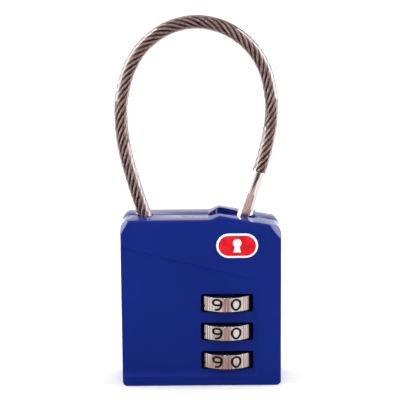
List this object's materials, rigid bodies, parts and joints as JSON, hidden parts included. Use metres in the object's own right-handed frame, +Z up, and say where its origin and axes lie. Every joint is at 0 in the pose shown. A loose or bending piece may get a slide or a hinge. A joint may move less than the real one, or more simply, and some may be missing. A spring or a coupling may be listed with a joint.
{
  "type": "combination cable padlock",
  "caption": "Small luggage padlock with a flat two-shell case, three number dials, a key override and a coated wire-rope shackle with a leaning plug.",
  "frame": {"origin": "middle of the case's base, on the line where the two covers meet", "axes": "+Z up towards the shackle, -Y out of the front face with the dials, +X towards the plug"},
  "size_m": [0.0335, 0.0136, 0.0752],
  "materials": {
    "case_blue": "glossy moulded shell",
    "badge_enamel": "red and white enamel",
    "die_cast": "bare zinc die casting",
    "steel": "bright steel",
    "spring_steel": "bright spring wire",
    "dial_nickel": "bright nickel, black figures",
    "sleeve_steel": "oil-blackened steel",
    "plug_nickel": "bright nickel plate",
    "cable": "clear-coated steel wire rope",
    "key_brass": "turned brass",
    "button": "black plastic"
  },
  "bodies": {
    "case": {"front_cover": "case_blue", "rear_cover": "case_blue", "badge": "badge_enamel", "chassis": "die_cast", "case_pins": "steel", "detent_spring": "spring_steel", "latch_spring": "spring_steel", "cable_anchor": "steel", "shackle_cable": "cable", "key_housing": "key_brass"},
    "dial_top": {"dial_top": "dial_nickel"},
    "dial_middle": {"dial_middle": "dial_nickel"},
    "dial_bottom": {"dial_bottom": "dial_nickel"},
    "sleeve_top": {"sleeve_top": "sleeve_steel"},
    "sleeve_middle": {"sleeve_middle": "sleeve_steel"},
    "sleeve_bottom": {"sleeve_bottom": "sleeve_steel"},
    "spindle": {"spindle": "steel", "sleeve_spring": "spring_steel"},
    "latch": {"latch": "steel"},
    "reset_button": {"reset_button": "button"},
    "plug": {"plug": "plug_nickel"},
    "key_core": {"key_core": "key_brass", "wafers": "key_brass", "core_clip": "spring_steel", "key_cam": "steel"}
  },
  "joints": [
    {"name": "dial_top_turn", "type": "hinge", "parent": "case", "child": "dial_top", "pos_m": [0.0051, -0.0013, 0], "axis": [0, 0, 1], "continuous": true},
    {"name": "dial_middle_turn", "type": "hinge", "parent": "case", "child": "dial_middle", "pos_m": [0.0051, -0.0013, 0], "axis": [0, 0, 1], "continuous": true},
    {"name": "dial_bottom_turn", "type": "hinge", "parent": "case", "child": "dial_bottom", "pos_m": [0.0051, -0.0013, 0], "axis": [0, 0, 1], "continuous": true},
    {"name": "sleeve_top_lift", "type": "slide", "parent": "dial_top", "child": "sleeve_top", "axis": [0, 0, 1], "range_m": [0, 0.0007]},
    {"name": "sleeve_middle_lift", "type": "slide", "parent": "dial_middle", "child": "sleeve_middle", "axis": [0, 0, 1], "range_m": [0, 0.0007]},
    {"name": "sleeve_bottom_lift", "type": "slide", "parent": "dial_bottom", "child": "sleeve_bottom", "axis": [0, 0, 1], "range_m": [0, 0.0007]},
    {"name": "reset_press", "type": "slide", "parent": "case", "child": "reset_button", "axis": [0, 0, 1], "range_m": [0, 0.0007], "stiffness_N_per_m": 150},
    {"name": "spindle_drop", "type": "slide", "parent": "case", "child": "spindle", "axis": [0, 0, -1], "range_m": [0, 0.0022], "stiffness_N_per_m": 60, "deforming": ["sleeve_spring"]},
    {"name": "latch_slide", "type": "slide", "parent": "case", "child": "latch", "axis": [1, 0, 0], "range_m": [0, 0.0011], "deforming": ["latch_spring"]},
    {"name": "plug_draw", "type": "slide", "parent": "case", "child": "plug", "axis": [0.309, 0, 0.9511], "range_m": [0, 0.0095], "deforming": ["shackle_cable"]},
    {"name": "key_turn", "type": "hinge", "parent": "case", "child": "key_core", "pos_m": [-0.0082, 0, 0], "axis": [0, 0, 1], "range_deg": [-90, 0]}
  ],
  "couplings": [
    {"joint": "sleeve_top_lift", "follows": "reset_press", "ratio": 1},
    {"joint": "sleeve_middle_lift", "follows": "reset_press", "ratio": 1},
    {"joint": "sleeve_bottom_lift", "follows": "reset_press", "ratio": 1},
    {"joint": "latch_slide", "follows": "spindle_drop", "ratio": 0.5}
  ]
}
